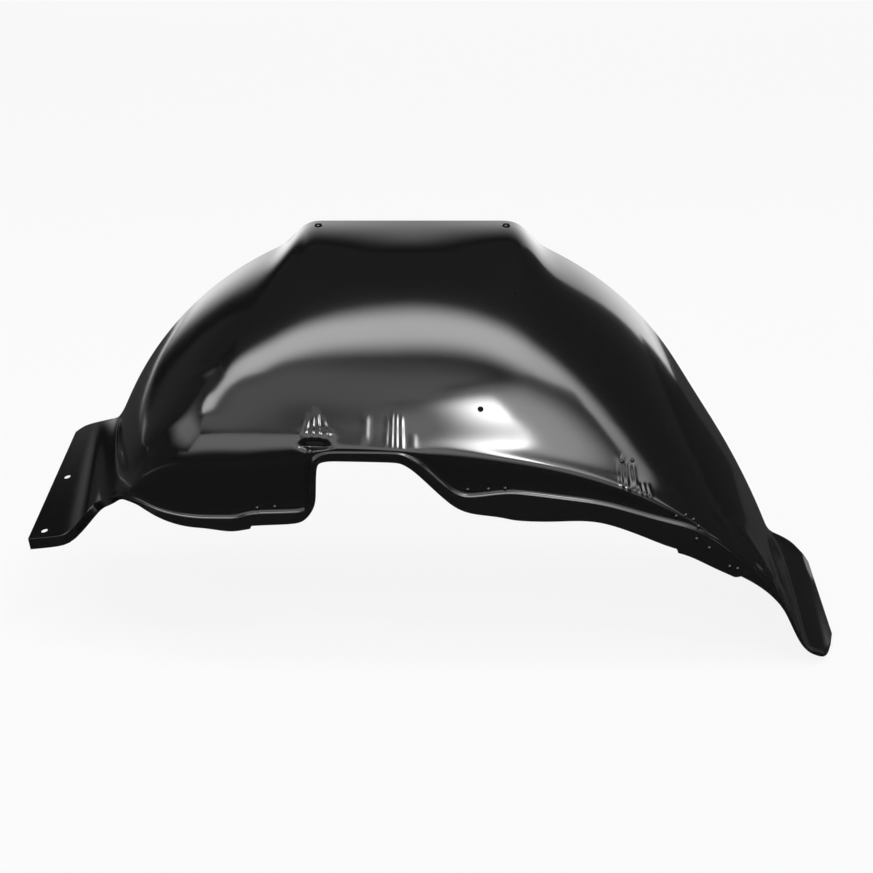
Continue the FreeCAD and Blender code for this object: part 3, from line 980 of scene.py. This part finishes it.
def glowing_cloth(name):
    """Material that only shines, with its nodes and links, its lamp and the places across and up the card."""
    material, nodes, links = node_material(name)
    nodes.clear()
    out = nodes.new("ShaderNodeOutputMaterial")
    glow = nodes.new("ShaderNodeEmission")
    links.new(glow.outputs[0], out.inputs["Surface"])
    place = nodes.new("ShaderNodeUVMap")
    split = nodes.new("ShaderNodeSeparateXYZ")
    links.new(place.outputs["UV"], split.inputs["Vector"])
    return material, nodes, links, glow.inputs["Strength"], split.outputs["X"], split.outputs["Y"]


def soft_glow(name, level):
    """Light cloth of a softbox: brightest in the middle, fading towards its edges."""
    material, nodes, links, strength, across, up = glowing_cloth(name)
    fades = []
    for place in (across, up):
        inward = calculate(nodes, links, "PINGPONG", place, 0.5)
        fades.append(soft_step(nodes, links, inward, 0.0, 0.4))
    both = calculate(nodes, links, "MULTIPLY", *fades)
    links.new(calculate(nodes, links, "MULTIPLY", both, level), strength)
    return material


def back_panel_glow():
    """Cloth of the back panel: fades with height and towards its left side."""
    material, nodes, links, strength, across, up = glowing_cloth("back_panel")
    height = soft_step(nodes, links, up, 0.05, 0.95, BACK_PANEL_LEVEL, 0.0)
    side = soft_step(nodes, links, across, 0.08, 0.24)
    links.new(calculate(nodes, links, "MULTIPLY", height, side), strength)
    return material


def softbox(name, azimuth, elevation, width, height, level, roll):
    """Soft lamp seen from the object at that bearing, so many degrees wide and high."""
    a, e = math.radians(azimuth), math.radians(elevation)
    away = Vector((math.sin(a) * math.cos(e), -math.cos(a) * math.cos(e), math.sin(e)))
    wide = 2 * SOFTBOX_DISTANCE * math.tan(math.radians(width) / 2)
    high = 2 * SOFTBOX_DISTANCE * math.tan(math.radians(height) / 2)
    placing = (Matrix.Translation(AIM + away * SOFTBOX_DISTANCE) @ facing_turn(-away).to_4x4()
               @ Matrix.Rotation(math.radians(roll), 4, "Z") @ Matrix.Diagonal((wide, high, 1, 1)))
    flat_card(name, placing, soft_glow(name, level))


def light_studio():
    for lamp in SOFTBOXES:
        softbox(*lamp)
    flat_card("back_panel", upright(BACK_PANEL_PLACE, BACK_PANEL_SIZE), back_panel_glow())
    world = bpy.context.scene.world or bpy.data.worlds.new("studio")
    bpy.context.scene.world = world
    world.use_nodes = True
    backdrop = world.node_tree.nodes["Background"]
    backdrop.inputs["Color"].default_value = (1, 1, 1, 1)
    backdrop.inputs["Strength"].default_value = 1.0


def photo_camera():
    lens = bpy.data.cameras.new("camera")
    lens.lens = CAMERA_LENS
    lens.sensor_width = CAMERA_SENSOR
    made = add_object("camera", lens)
    made.location = CAMERA_PLACE
    made.rotation_euler = (math.radians(CAMERA_TILT), 0, 0)
    bpy.context.scene.camera = made


skin = press_marks(lengthen_lip(upper_skin()))
liner = add_object("liner_panel", sheet_mesh("liner_panel", skin))
drill_holes(liner, skin)
smooth(liner.data, SHEET_EDGE_ANGLE)
coat = gloss_black_coat()
liner.data.materials.clear()
liner.data.materials.append(coat)
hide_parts("wheel_arch_liner")
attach(liner, "root")

pips = clinch_pips(skin, coat)
smooth(pips.data, PIP_EDGE_ANGLE)
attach(pips, "root")

collars = hole_collars()
smooth(collars.data, SHEET_EDGE_ANGLE)
collars.data.materials.append(coat)
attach(collars, "root")

# Painted shade: dark plugs fill the drain and pin holes in place of the dark seen through them.
shade_plugs = hole_shade_plugs(skin)
smooth(shade_plugs.data, SHEET_EDGE_ANGLE)
shade_plugs.data.materials.append(matt_shade_black())
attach(shade_plugs, "root")

pale_floor()
dark_studio()
light_studio()
photo_camera()
bpy.context.scene.view_settings.view_transform = "Standard"
